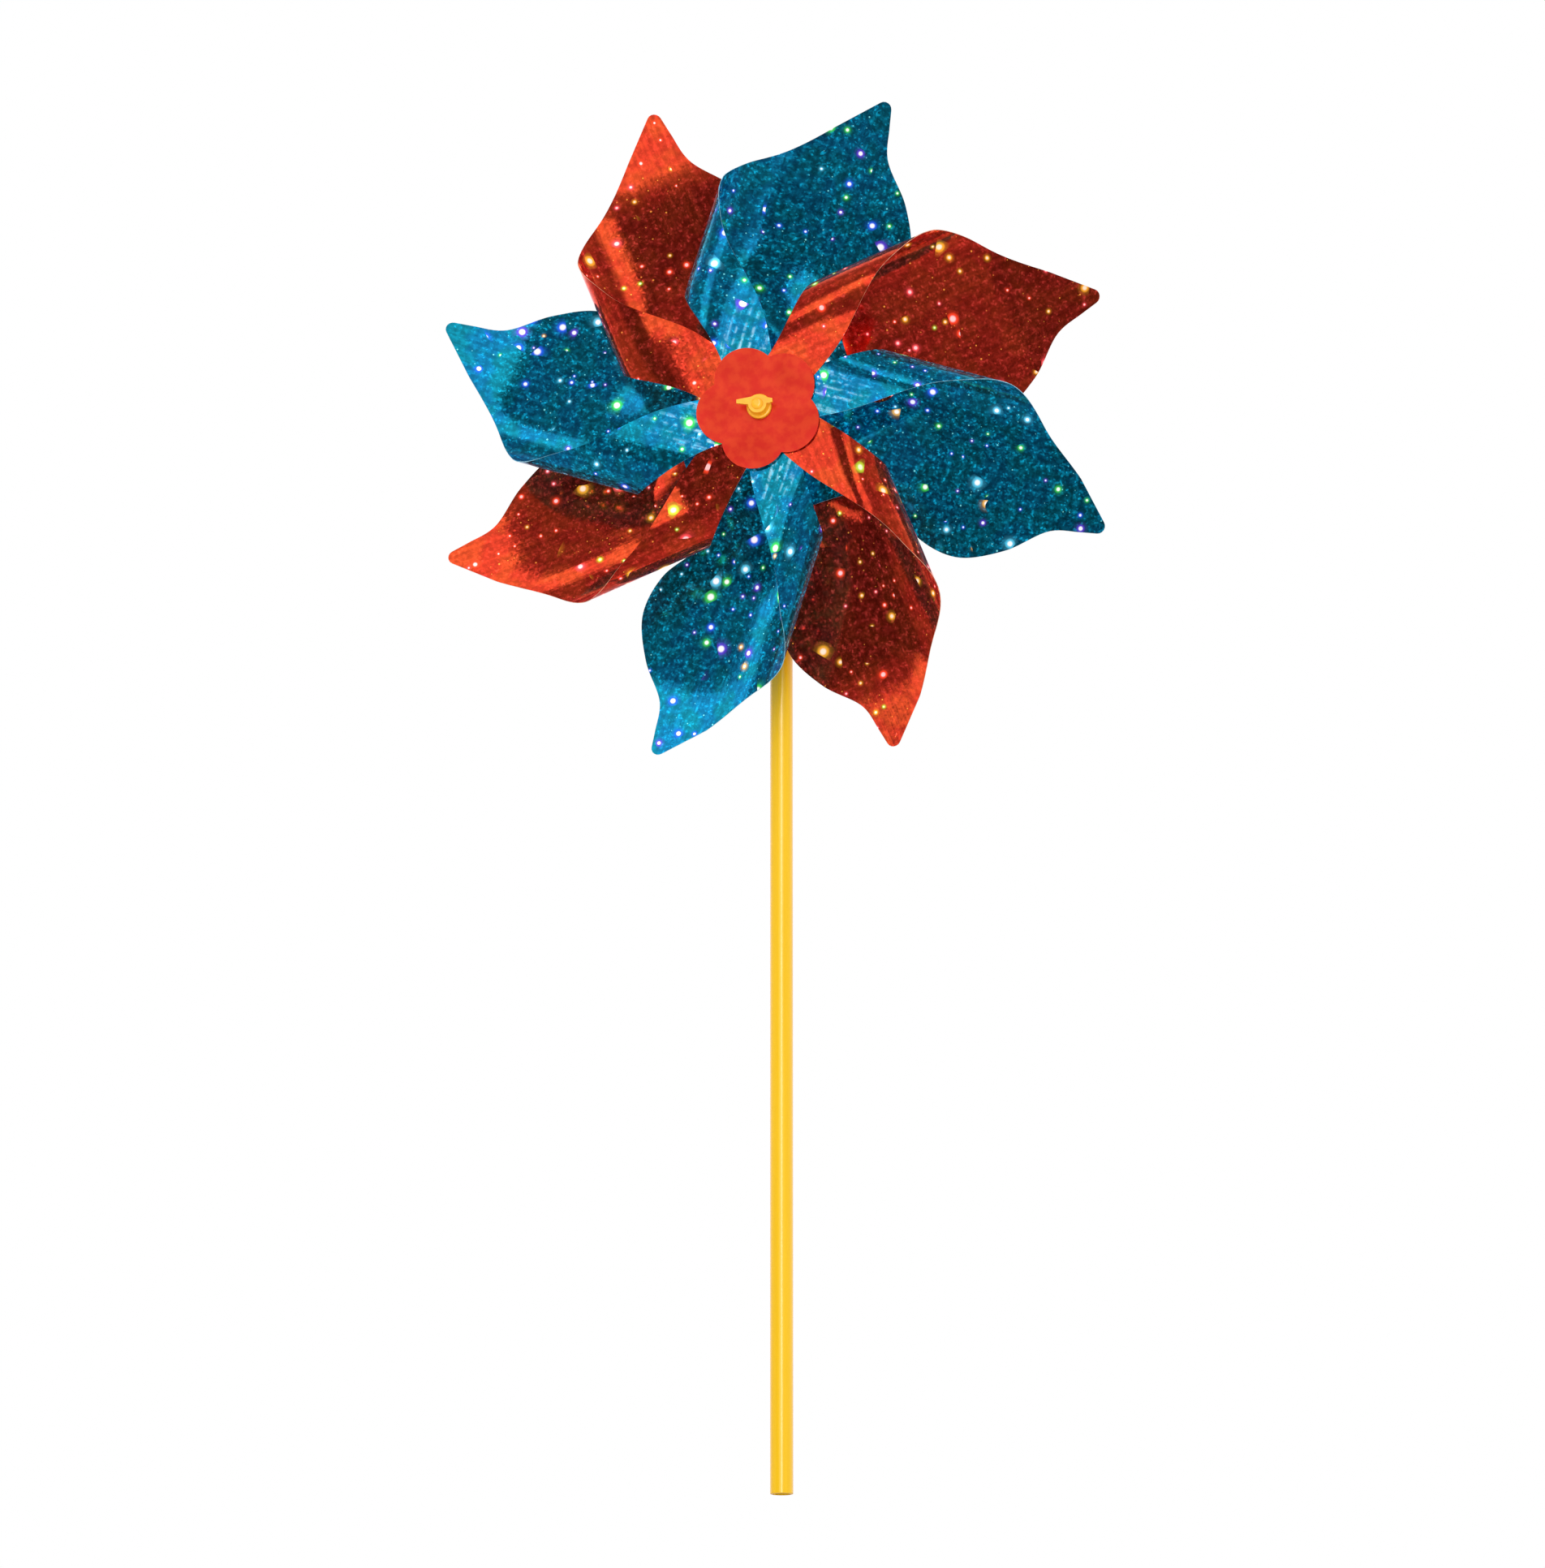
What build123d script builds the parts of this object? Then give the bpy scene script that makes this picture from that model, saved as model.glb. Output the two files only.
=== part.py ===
"""A pinwheel: two die-cut film stars curled round a moulded pin, on a hollow plastic stick.

Frame: the origin is the centre of the stick's bottom end, +Z runs up the stick and the wheel
faces -Y. Depths are measured forwards (-Y) from the stick's axis.
Blade coordinates: u runs outwards along an arm's fold, n is square to it towards the curled
edge, and the depth is the third direction. Angles are clockwise from up, seen from the front.
"""

import os
from math import cos, radians, sin

from build123d import *

os.makedirs("parts", exist_ok=True)

# ---- driving dimensions, mm and degrees ----
AXLE_HEIGHT = 234.0
STICK_LENGTH = 244.0
STICK_R = 2.5
STICK_WALL = 0.5
STICK_END_ROUND = 0.2
NECK_LENGTH = 24.0  # the stick is drawn down a little at its top, where the pin crosses it
NECK_R = 2.3

PIN_R = 1.3
PRESS = 0.02  # how much smaller a pressed-on hole is, on its radius
RUNNING = 0.06  # radial clearance of everything that turns on the pin
END_PLAY = 0.3  # free travel of the wheel at each end of its place on the pin
LAYER_GAP = 0.05  # between film layers stacked on the pin

HEAD_R = 3.2
HEAD_THICKNESS = 1.2
SPACER_R = 2.5
BACK_SPACER_LENGTH = 8.0

FILM = 0.2
ARMS = 4
ORANGE_ANGLE = -22.2  # direction of the first arm's fold
BLUE_ANGLE = -72.45
CURL_DEPTH = 17.9  # from the rearmost film layer to the front star, at mid-film
CURL_REACH = 22.5  # how far the fold stands off the arm's centre line
HUB_R = 7.0
TAB_R = 6.0
TIP_ROUND = 1.6

FLOWER_PETALS = 5
FLOWER_R = 14.0
FLOWER_NOTCH_R = 11.4
FLOWER_ANGLE = -25.0
FLOWER_FILM = 0.25

CAP_R = 2.75
CAP_THICKNESS = 1.0
BOSS_R = 2.3
BOSS_HEIGHT = 1.9
BOSS_TAPER = 9.0
LEFT_EAR = 4.6  # how far each ear reaches from the pin's axis
RIGHT_EAR = 3.3
EAR_RAISE = 0.7  # the ears run a little above the pin's axis
EAR_WIDTH = 2.2
EAR_END_WIDTH = 0.8
EAR_THICKNESS = 0.8
PIN_END_HEIGHT = 0.75  # how far the pin's domed end stands out of the cap's boss

# ---- depths along the pin, worked out from the above ----
PITCH = FILM + LAYER_GAP
REAR_LAYERS = 2 * ARMS
back_spacer_start = NECK_R
back_spacer_end = back_spacer_start + BACK_SPACER_LENGTH
first_layer = back_spacer_end + END_PLAY + FILM / 2
rear_stack_end = first_layer + (REAR_LAYERS - 1) * PITCH + FILM / 2
orange_front = first_layer + CURL_DEPTH
blue_front = orange_front - PITCH
hub_spacer_start = rear_stack_end + LAYER_GAP
hub_spacer_end = blue_front - FILM / 2 - LAYER_GAP
flower_back = orange_front + FILM / 2 + LAYER_GAP
cap_back = flower_back + FLOWER_FILM + END_PLAY
cap_front = cap_back + CAP_THICKNESS + BOSS_HEIGHT
pin_end = cap_front + PIN_END_HEIGHT

# ---- the die-cut outline of one arm, as (u, n), seen from the front ----
TIP = (79.3, -3.4)
CREST = (50.0, CURL_REACH)
INNER_FOLD = (22.2, CURL_REACH)
REAR_FREE_EDGE = [(69.3, 6.7), (60.3, 14.8), CREST]
REAR_HUB_EDGE = [INNER_FOLD, (24.8, 18.0), (22.4, 12.8), (16.0, 10.0), (6.0, 5.0)]
REAR_TRAILING_EDGE = [(0.0, -TAB_R), (14.0, -5.6), (25.0, -5.4), (31.5, -8.0), (37.8, -13.0),
                      (47.0, -16.2), (57.0, -12.2), (65.6, -5.7), (72.4, -4.3)]
REAR_CORNER = [(5.0, 4.0), (9.6, 19.8), (17.5, 10.5)]
FRONT_FREE_EDGE = [CREST, (44.0, 21.0), (35.0, 16.6), (21.4, 6.1), (13.0, 1.0), (3.0, -5.0)]
FRONT_HUB_EDGE = [(-2.0, 5.0), (8.2, 11.4), (16.0, 17.9), INNER_FOLD]


def hub_plane(depth, angle=0.0):
    """A plane square to the pin: x along the given angle, y a quarter turn anticlockwise, z forwards."""
    a = radians(angle)
    return Plane(origin=(0, -depth, AXLE_HEIGHT), x_dir=(sin(a), 0, cos(a)), z_dir=(0, -1, 0))


def rear_outline(plane):
    """The rear half of an arm: tab, blade and tip, as far as the fold."""
    above_fold = CURL_REACH + 1.0
    with BuildSketch(plane) as outline:
        with BuildLine():
            Spline(*REAR_TRAILING_EDGE)
            Line(REAR_TRAILING_EDGE[-1], TIP)
            Line(TIP, REAR_FREE_EDGE[0])
            Spline(*REAR_FREE_EDGE)
            Polyline(CREST, (CREST[0], above_fold), (INNER_FOLD[0], above_fold), INNER_FOLD)
            Spline(*REAR_HUB_EDGE)
            Line(REAR_HUB_EDGE[-1], REAR_TRAILING_EDGE[0])
        make_face()
        fillet(outline.vertices().sort_by(Axis.X)[-1], radius=TIP_ROUND)
        Circle(TAB_R)
    return outline.sketch


def front_outline(plane):
    """The front half of an arm: the tongue that joins the fold to the star's centre."""
    above_fold = CURL_REACH + 1.0
    with BuildSketch(plane) as outline:
        with BuildLine():
            Spline(*FRONT_FREE_EDGE)
            Line(FRONT_FREE_EDGE[-1], FRONT_HUB_EDGE[0])
            Spline(*FRONT_HUB_EDGE)
            Polyline(INNER_FOLD, (INNER_FOLD[0], above_fold), (CREST[0], above_fold), CREST)
        make_face()
        Circle(HUB_R)
    return outline.sketch


def curled_arm(angle, rear_depth, front_depth):
    """One arm of film, curled from the front star round to its own tab at the rear."""
    radius = (front_depth - rear_depth) / 2
    fold_n = CURL_REACH - radius
    inner_end, outer_end, width = -10.0, 80.0, 50.0
    rear = hub_plane(rear_depth, angle)
    section = Plane(origin=rear.from_local_coords((inner_end, 0, radius)), x_dir=rear.y_dir, z_dir=rear.x_dir)

    with BuildPart() as die:
        extrude(rear_outline(rear.offset(-FILM)), amount=radius + FILM)
        extrude(front_outline(rear.offset(radius)), amount=radius + FILM)

    with BuildPart() as arm:
        with BuildSketch(section):
            with Locations((fold_n, 0)):
                Circle(radius + FILM / 2)
                Rectangle(width, 2 * radius + FILM, align=(Align.MAX, Align.CENTER))
                Circle(radius - FILM / 2, mode=Mode.SUBTRACT)
                Rectangle(width, 2 * radius - FILM, align=(Align.MAX, Align.CENTER), mode=Mode.SUBTRACT)
        extrude(amount=outer_end - inner_end)
        add(die.part, mode=Mode.INTERSECT)
        with BuildSketch(rear.offset(-FILM / 2)):
            with BuildLine():
                Polyline(*REAR_CORNER, close=True)
            make_face()
        extrude(amount=FILM)
    return arm.part


def curled_arms(first_angle, first_rear_depth, front_depth):
    """The four arms of a star, which share its front centre and stack their rear tabs on the pin."""
    return [
        curled_arm(first_angle + k * 360 / ARMS, first_rear_depth + k * PITCH, front_depth)
        for k in range(ARMS)
    ]


# ---- stick: hollow tube, necked at the top, with a cross hole for the pin ----
with BuildPart() as stick:
    shank_length = STICK_LENGTH - NECK_LENGTH
    with BuildSketch(Plane.XY):
        Circle(STICK_R)
        Circle(STICK_R - STICK_WALL, mode=Mode.SUBTRACT)
    extrude(amount=shank_length)
    with BuildSketch(Plane.XY.offset(shank_length)):
        Circle(NECK_R)
        Circle(NECK_R - STICK_WALL, mode=Mode.SUBTRACT)
    extrude(amount=NECK_LENGTH)
    end_rims = stick.edges().filter_by(GeomType.CIRCLE).group_by(Axis.Z)
    for rims in (end_rims[0], end_rims[-1]):
        fillet(rims.sort_by(SortBy.RADIUS)[-1], radius=STICK_END_ROUND)
    with Locations(hub_plane(NECK_R)):
        Hole(PIN_R - PRESS)
stick.part.label = "stick"
export_step(stick.part, "parts/stick.step")

# ---- axle pin: flat rear head behind the stick, plain shaft, domed front end ----
with BuildPart() as axle_pin:
    with BuildSketch(hub_plane(-NECK_R)):
        Circle(HEAD_R)
    extrude(amount=-HEAD_THICKNESS)
    fillet(axle_pin.edges().sort_by(Axis.Y)[-1], radius=HEAD_THICKNESS / 2)
    with BuildSketch(hub_plane(-NECK_R)):
        Circle(PIN_R)
    extrude(amount=NECK_R + pin_end)
    fillet(axle_pin.edges().sort_by(Axis.Y)[0], radius=PIN_END_HEIGHT)
axle_pin.part.label = "axle_pin"
export_step(axle_pin.part, "parts/axle_pin.step")

# ---- back spacer: fixed on the pin, it keeps the wheel clear of the stick ----
with BuildPart() as back_spacer:
    with BuildSketch(hub_plane(back_spacer_start)):
        Circle(SPACER_R)
        Circle(PIN_R - PRESS, mode=Mode.SUBTRACT)
    extrude(amount=BACK_SPACER_LENGTH)
back_spacer.part.label = "back_spacer"
export_step(back_spacer.part, "parts/back_spacer.step")

# ---- hub spacer: turns with the wheel and holds its curls open ----
with BuildPart() as hub_spacer:
    with BuildSketch(hub_plane(hub_spacer_start)):
        Circle(SPACER_R)
        Circle(PIN_R + RUNNING, mode=Mode.SUBTRACT)
    extrude(amount=hub_spacer_end - hub_spacer_start)
hub_spacer.part.label = "hub_spacer"
export_step(hub_spacer.part, "parts/hub_spacer.step")

# ---- the two film stars, orange in front of blue at the hub and behind it at the rear ----
orange_arms = curled_arms(ORANGE_ANGLE, first_layer, orange_front)
with BuildPart() as orange_blade_sheet:
    add(orange_arms)
    with Locations(hub_plane(orange_front)):
        Hole(PIN_R + RUNNING)
orange_blade_sheet.part.label = "orange_blade_sheet"
export_step(orange_blade_sheet.part, "parts/orange_blade_sheet.step")

blue_arms = curled_arms(BLUE_ANGLE, first_layer + ARMS * PITCH, blue_front)
with BuildPart() as blue_blade_sheet:
    add(blue_arms)
    with Locations(hub_plane(blue_front)):
        Hole(PIN_R + RUNNING)
blue_blade_sheet.part.label = "blue_blade_sheet"
export_step(blue_blade_sheet.part, "parts/blue_blade_sheet.step")

# ---- flower washer: five round petals about the pin ----
half_petal = radians(180 / FLOWER_PETALS)
petal_centre_r = (FLOWER_R**2 - FLOWER_NOTCH_R**2) / (2 * (FLOWER_R - FLOWER_NOTCH_R * cos(half_petal)))
with BuildPart() as flower_washer:
    with BuildSketch(hub_plane(flower_back, FLOWER_ANGLE)):
        with PolarLocations(petal_centre_r, FLOWER_PETALS):
            Circle(FLOWER_R - petal_centre_r)
        Circle(petal_centre_r)
        Circle(PIN_R + RUNNING, mode=Mode.SUBTRACT)
    extrude(amount=FLOWER_FILM)
flower_washer.part.label = "flower_washer"
export_step(flower_washer.part, "parts/flower_washer.step")

# ---- axle cap: a disc with a tapered boss and two ears at its front, pressed on the pin ----
with BuildPart() as axle_cap:
    with BuildSketch(hub_plane(cap_back)):
        Circle(CAP_R)
    extrude(amount=CAP_THICKNESS)
    fillet(axle_cap.edges().sort_by(Axis.Y)[0], radius=CAP_THICKNESS / 3)
    with BuildSketch(hub_plane(cap_back + CAP_THICKNESS)):
        Circle(BOSS_R)
    extrude(amount=BOSS_HEIGHT, taper=BOSS_TAPER)
    with BuildSketch(hub_plane(cap_front)):
        with BuildLine():
            Polyline(
                (EAR_RAISE + EAR_WIDTH / 2, 0), (EAR_RAISE + EAR_END_WIDTH / 2, LEFT_EAR),
                (EAR_RAISE - EAR_END_WIDTH / 2, LEFT_EAR), (EAR_RAISE - EAR_WIDTH / 2, 0),
                (EAR_RAISE - EAR_END_WIDTH / 2, -RIGHT_EAR), (EAR_RAISE + EAR_END_WIDTH / 2, -RIGHT_EAR),
                close=True,
            )
        make_face()
    extrude(amount=-EAR_THICKNESS)
    with BuildSketch(hub_plane(cap_back)):
        Circle(PIN_R - PRESS)
    extrude(amount=CAP_THICKNESS + BOSS_HEIGHT, mode=Mode.SUBTRACT)
axle_cap.part.label = "axle_cap"
export_step(axle_cap.part, "parts/axle_cap.step")
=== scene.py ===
"""Looks of the pinwheel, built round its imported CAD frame.

Frame: +Z runs up the stick from its bottom end, the wheel faces -Y, and Blender works in metres.
Blade coordinates are in millimetres: u runs outwards along an arm's fold, n is square to it
towards the curled edge, and depth is how far a point stands in front of the stick's axis.
Film coordinates (u, q) are those of the flat die-cut star: q is measured round the curl from the
star's front centre, and s is the same distance measured from the arm's rear hole.
"""

from math import cos, pi, radians, sin, tan
from types import SimpleNamespace
from typing import NamedTuple

import bmesh
import bpy
import numpy as np
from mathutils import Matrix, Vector
from mathutils.geometry import delaunay_2d_cdt


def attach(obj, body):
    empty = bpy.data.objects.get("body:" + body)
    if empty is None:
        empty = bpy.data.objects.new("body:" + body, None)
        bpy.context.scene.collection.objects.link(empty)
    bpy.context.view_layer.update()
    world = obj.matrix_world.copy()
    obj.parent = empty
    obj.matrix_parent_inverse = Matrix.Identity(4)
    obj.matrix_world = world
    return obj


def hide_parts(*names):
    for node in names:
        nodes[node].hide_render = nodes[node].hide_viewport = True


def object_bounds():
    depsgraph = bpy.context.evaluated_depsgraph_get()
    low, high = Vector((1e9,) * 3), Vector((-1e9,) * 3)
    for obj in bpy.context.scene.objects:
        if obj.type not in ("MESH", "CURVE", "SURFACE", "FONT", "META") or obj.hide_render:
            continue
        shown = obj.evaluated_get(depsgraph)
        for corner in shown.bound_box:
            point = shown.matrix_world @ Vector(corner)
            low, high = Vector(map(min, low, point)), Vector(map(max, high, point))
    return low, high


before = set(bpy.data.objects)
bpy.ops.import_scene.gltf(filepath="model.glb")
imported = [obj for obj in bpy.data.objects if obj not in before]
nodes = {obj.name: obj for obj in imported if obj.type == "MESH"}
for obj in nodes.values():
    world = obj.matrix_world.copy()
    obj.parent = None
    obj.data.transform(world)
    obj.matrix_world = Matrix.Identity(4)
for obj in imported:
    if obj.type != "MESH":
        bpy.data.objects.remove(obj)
cad_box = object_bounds()
MM = 0.001

# ---- sizes shared with the CAD model, mm and degrees ----
AXLE_HEIGHT = 234.0
HOLE_R = 1.36
TAB_R = 6.0
ARMS = 4
PITCH = 0.25  # from one stacked tab to the next
FIRST_LAYER = 10.7
CURL_DEPTH = 17.9
CURL_REACH = 22.5
ORANGE_ANGLE = -22.2
BLUE_ANGLE = -72.45
ORANGE_REAR = FIRST_LAYER
ORANGE_FRONT = FIRST_LAYER + CURL_DEPTH
BLUE_REAR = FIRST_LAYER + ARMS * PITCH
BLUE_FRONT = ORANGE_FRONT - PITCH
FLOWER_BACK = ORANGE_FRONT + 0.15
FLOWER_ANGLE = -25.0

# ---- sizes of the looks alone, mm and degrees ----
FILM = 0.14  # thickness of the blades' film
FLOWER_FILM = 0.18
HUB_R = 7.0  # the four arms of a star are one piece inside this radius
HUB_SEAM = 8.0  # the cut between two arms is turned this far from the arm's edge
BODY_LEAN = 10.0  # the outer body leans back from the fold to its trailing edge
LEAN_LENGTH = 8.0
TIP_CURVE = 0.020  # per mm: the tips bend forwards
TIP_START = 54.0
TIP_STRAIGHT = 66.0
FINE_WAVE = 0.06
BROAD_WAVE = 0.07


class Shape(NamedTuple):
    """How one arm differs from the CAD model's."""

    reach: float  # how much further out its fold stands
    tip: float  # how far its tip bends
    droop: float = 0.0  # how steeply its front half droops
    lean_edge: float = 12.0  # up to this far from its rear hole, its body leans fully


class Arm(NamedTuple):
    """Where one arm of a star is."""

    angle: float
    rear: float  # depth of its tab
    front: float  # depth of its star's centre
    phase: float  # of its waves
    shape: Shape


ORANGE_SHAPES = (
    Shape(2.8, 1.35, droop=0.05),
    Shape(1.3, 1.0),
    Shape(-2.6, 0.75),
    Shape(-1.2, 0.85, droop=0.13),
)
BLUE_SHAPES = (
    Shape(1.0, 1.35),
    Shape(3.0, 1.0, lean_edge=16.0),
    Shape(-1.8, 0.35),
    Shape(-3.0, 1.0, droop=0.04),
)


# ---------------------------------------------------------------- shape of the film
def smoothstep(a, b, x):
    t = np.clip((x - a) / (b - a), 0.0, 1.0)
    return t * t * (3.0 - 2.0 * t)


# The curl turns through half a circle, with curvature that rises and falls as half a cosine.
CURL_X = np.linspace(-0.5, 0.5, 2001)
CURL_TURN = pi / 2 * (1 + np.sin(pi * CURL_X))


def running_integral(values):
    middles = (values[1:] + values[:-1]) / 2
    return np.concatenate([[0.0], np.cumsum(middles * np.diff(CURL_X))])


CURL_N = running_integral(np.cos(CURL_TURN))
CURL_H = running_integral(np.sin(CURL_TURN))
MEAN_WIDTH = CURL_DEPTH / CURL_H[-1]
STRIP = 2 * (CURL_REACH - MEAN_WIDTH * CURL_N.max()) + MEAN_WIDTH  # front hole to rear hole, flat


def fold_bulge(u, s):
    """Where an arm's own reach is added to its fold, from 0 to 1."""
    along_curl = smoothstep(5.0, 21.0, s) * smoothstep(STRIP - 6.0, STRIP - 22.0, s)
    return along_curl * smoothstep(4.0, 24.0, u)


def body_drop(u, s, lean_edge):
    """How far the rear half of an arm leans back behind its tab's plane."""
    lean = lean_edge - s + LEAN_LENGTH / 2
    t = np.clip((s - lean_edge) / LEAN_LENGTH, 0.0, 1.0)
    faded = LEAN_LENGTH * (0.5 - t + t**3 - t**4 / 2)
    drop = np.where(s < lean_edge, lean, faded)
    return tan(radians(BODY_LEAN)) * smoothstep(20.0, 42.0, u - 0.5 * (s - 8.0)) * drop


def tip_rise(u):
    """How far an arm's tip bends forwards."""
    bent = np.clip(u - TIP_START, 0.0, TIP_STRAIGHT - TIP_START)
    straight = np.clip(u - TIP_STRAIGHT, 0.0, None)
    return TIP_CURVE * (bent**2 / 2 + (TIP_STRAIGHT - TIP_START) * straight)


def front_droop(u, s):
    """How far the front half droops back for each unit of its arm's droop."""
    return np.clip(u - 8.0, 0.0, 16.0) * smoothstep(STRIP * 0.5, STRIP * 0.8, s)


def ripple(u, s, phase):
    """Slight waves that run along the curl, as creased film has."""
    amount = smoothstep(18.0, 30.0, u) * smoothstep(2.0, 12.0, s) * smoothstep(54.0, 44.0, s)
    fine = FINE_WAVE * np.sin(s / 1.15 + 0.05 * u + phase) * smoothstep(16.0, 22.0, s)
    broad = BROAD_WAVE * np.sin(s / 4.1 + 0.035 * u + 2.3 * phase) * np.sin(u / 9.0 + phase)
    return amount * (fine + broad)


def film_points(u, q, arm):
    """Where points of the flat star lie in space once their arm is curled, in mm."""
    height = arm.front - arm.rear
    width = height / CURL_H[-1]
    s = STRIP - q
    x = (s - STRIP / 2) / width
    n_curl = (STRIP - width) / 2 + width * np.interp(x, CURL_X, CURL_N)
    h_curl = width * np.interp(x, CURL_X, CURL_H)
    flat_front = x > 0.5
    flat_rear = (x < -0.5) | ((x < 0) & (u < 17.5))  # the rear corner stays flat
    n = np.where(flat_rear, s, np.where(flat_front, q, n_curl))
    h = np.where(flat_rear, 0.0, np.where(flat_front, height, h_curl))

    shape = arm.shape
    n = n + shape.reach * fold_bulge(u, s)
    h = h - body_drop(u, s, shape.lean_edge) + shape.tip * tip_rise(u) + ripple(u, s, arm.phase)
    h = h - shape.droop * front_droop(u, s)
    a = radians(arm.angle)
    right = u * sin(a) - n * cos(a)
    up = u * cos(a) + n * sin(a)
    return np.stack([right, -(arm.rear + h), AXLE_HEIGHT + up], axis=-1)


def film_normals(u, q, arm):
    """The curled film's normals at the same points."""
    step = 0.01
    along_u = film_points(u + step, q, arm) - film_points(u - step, q, arm)
    along_q = film_points(u, q + step, arm) - film_points(u, q - step, arm)
    normals = np.cross(along_u, along_q)
    return normals / np.linalg.norm(normals, axis=1, keepdims=True)


# ---------------------------------------------------------------- the die-cut outline
def smooth_line(points, step=1.0):
    """Points along a smooth curve through the given ones, about a step apart, without the last."""
    p = np.array(points, float)
    p = np.concatenate([[2 * p[0] - p[1]], p, [2 * p[-1] - p[-2]]])
    line = []
    for i in range(1, len(p) - 2):
        p0, p1, p2, p3 = p[i - 1 : i + 3]
        sides = ((p0, p1), (p1, p2), (p2, p3))
        d0, d1, d2 = (max(np.linalg.norm(b - a), 1e-6) ** 0.5 for a, b in sides)
        m1 = d1 * ((p1 - p0) / d0 - (p2 - p0) / (d0 + d1) + (p2 - p1) / d1)
        m2 = d1 * ((p2 - p1) / d1 - (p3 - p1) / (d1 + d2) + (p3 - p2) / d2)
        pieces = max(1, int(round(np.linalg.norm(p2 - p1) / step)))
        for t in np.arange(pieces) / pieces:
            a, b = 2 * t**3 - 3 * t**2 + 1, t**3 - 2 * t**2 + t
            c, d = -2 * t**3 + 3 * t**2, t**3 - t**2
            line.append(a * p1 + b * m1 + c * p2 + d * m2)
    return line


def arc(centre, radius, start, end, step=1.0):
    """Points on a circle from one angle to another, in degrees, both ends included."""
    pieces = max(2, int(abs(radians(end - start)) * radius / step))
    turns = np.radians(np.linspace(start, end, pieces + 1))
    return [np.array([centre[0] + radius * cos(t), centre[1] + radius * sin(t)]) for t in turns]


def rounded_corner(before, corner, after, radius):
    """The arc that rounds a corner of an outline."""
    before, corner, after = (np.array(p, float) for p in (before, corner, after))
    a = (before - corner) / np.linalg.norm(before - corner)
    b = (after - corner) / np.linalg.norm(after - corner)
    half = np.arccos(np.clip(a @ b, -1, 1)) / 2
    centre = corner + (a + b) / np.linalg.norm(a + b) * radius / sin(half)
    start = corner + a * radius / np.tan(half) - centre
    end = corner + b * radius / np.tan(half) - centre
    a0, a1 = np.arctan2(start[1], start[0]), np.arctan2(end[1], end[0])
    turn = (a1 - a0 + pi) % (2 * pi) - pi
    turns = a0 + turn * np.linspace(0, 1, 7)
    return [centre + radius * np.array([cos(t), sin(t)]) for t in turns]


def rear(u, n):
    """A point of the arm's rear half, given where it lies once curled, in film coordinates."""
    if n > 18:
        s = np.interp(n, [18.0, 22.5], [18.25, STRIP / 2])
    else:
        s = n * (1 + 0.014 * max(0, n - 10) / 8)
    return (u, STRIP - s)


def arm_outline():
    """One arm of the flat star, from the front centre's hole out and back, as (u, q) in mm."""
    seam_cos, seam_sin = cos(radians(HUB_SEAM)), sin(radians(HUB_SEAM))
    fold = (50.0, STRIP / 2)
    hub_out = (HUB_R * seam_cos, -HUB_R * seam_sin)
    front_edge = [hub_out, (13.2, 1.6), (21.4, 6.2), (35.0, 16.9), (43.0, 21.6), fold]
    outer_edge = [fold, (55.8, 34.0), rear(60.4, 14.8), rear(69.4, 6.8)]
    tip = (79.15, STRIP + 3.4)
    trailing_edge = [
        rear(72.8, -4.4), rear(65.8, -5.8), rear(57.0, -12.4), rear(47.0, -16.4), rear(37.8, -14.6),
        rear(31.5, -9.8), rear(25.0, -5.6), rear(14.0, -5.6), rear(0.0, -TAB_R),
    ]
    tab = arc((0.0, STRIP), TAB_R, 90.0, 296.0)
    corner_start, corner, corner_end = (4.6, STRIP - 7.0), (7.5, STRIP - 25.4), (17.0, STRIP - 12.0)
    hub_in = (HUB_R * seam_sin, HUB_R * seam_cos)
    inner_edge = [
        corner_end, (20.4, STRIP - 11.8), rear(22.9, 13.2), rear(24.7, 17.8), (23.6, 31.5), (22.2, 27.0),
        (20.2, 23.3), (15.9, 18.3), (8.2, 11.6), hub_in,
    ]

    outline = smooth_line([(HOLE_R * seam_cos, -HOLE_R * seam_sin), hub_out])
    outline += smooth_line(front_edge)
    outline += smooth_line(outer_edge) + [np.array(outer_edge[-1])]
    outline += rounded_corner(outer_edge[-1], tip, trailing_edge[0], 1.6)
    outline += smooth_line(trailing_edge)
    outline += tab
    outline += smooth_line([tab[-1], corner_start])[1:]
    outline += rounded_corner(corner_start, corner, corner_end, 0.8)
    outline += smooth_line([corner, corner_end])[3:]  # its first points lie under the rounding
    outline += smooth_line(inner_edge)
    outline += smooth_line([hub_in, (HOLE_R * seam_sin, HOLE_R * seam_cos)])
    outline += arc((0.0, 0.0), HOLE_R, 90.0 - HUB_SEAM, -HUB_SEAM, 0.4)[:-1]
    return np.array(outline)


def inside(points, loop):
    """Which points lie inside a closed outline."""
    x, y = points[:, 0][:, None], points[:, 1][:, None]
    x0, y0 = loop[:, 0][None, :], loop[:, 1][None, :]
    x1, y1 = np.roll(loop[:, 0], -1)[None, :], np.roll(loop[:, 1], -1)[None, :]
    crosses = (y0 > y) != (y1 > y)
    where = x0 + (y - y0) * (x1 - x0) / np.where(y1 == y0, 1e-9, y1 - y0)
    return (np.sum(crosses & (x < where), axis=1) % 2) == 1


def distance_to(points, loop):
    """How far each point is from a closed outline."""
    side = np.roll(loop, -1, axis=0) - loop
    length = np.maximum((side**2).sum(1), 1e-12)
    t = np.clip(((points[:, None, :] - loop[None]) * side[None]).sum(2) / length[None], 0, 1)
    nearest = loop[None] + t[..., None] * side[None]
    return np.sqrt(((points[:, None, :] - nearest) ** 2).sum(2)).min(1)


def loop_edges(first, count):
    return [(first + i, first + (i + 1) % count) for i in range(count)]


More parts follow.
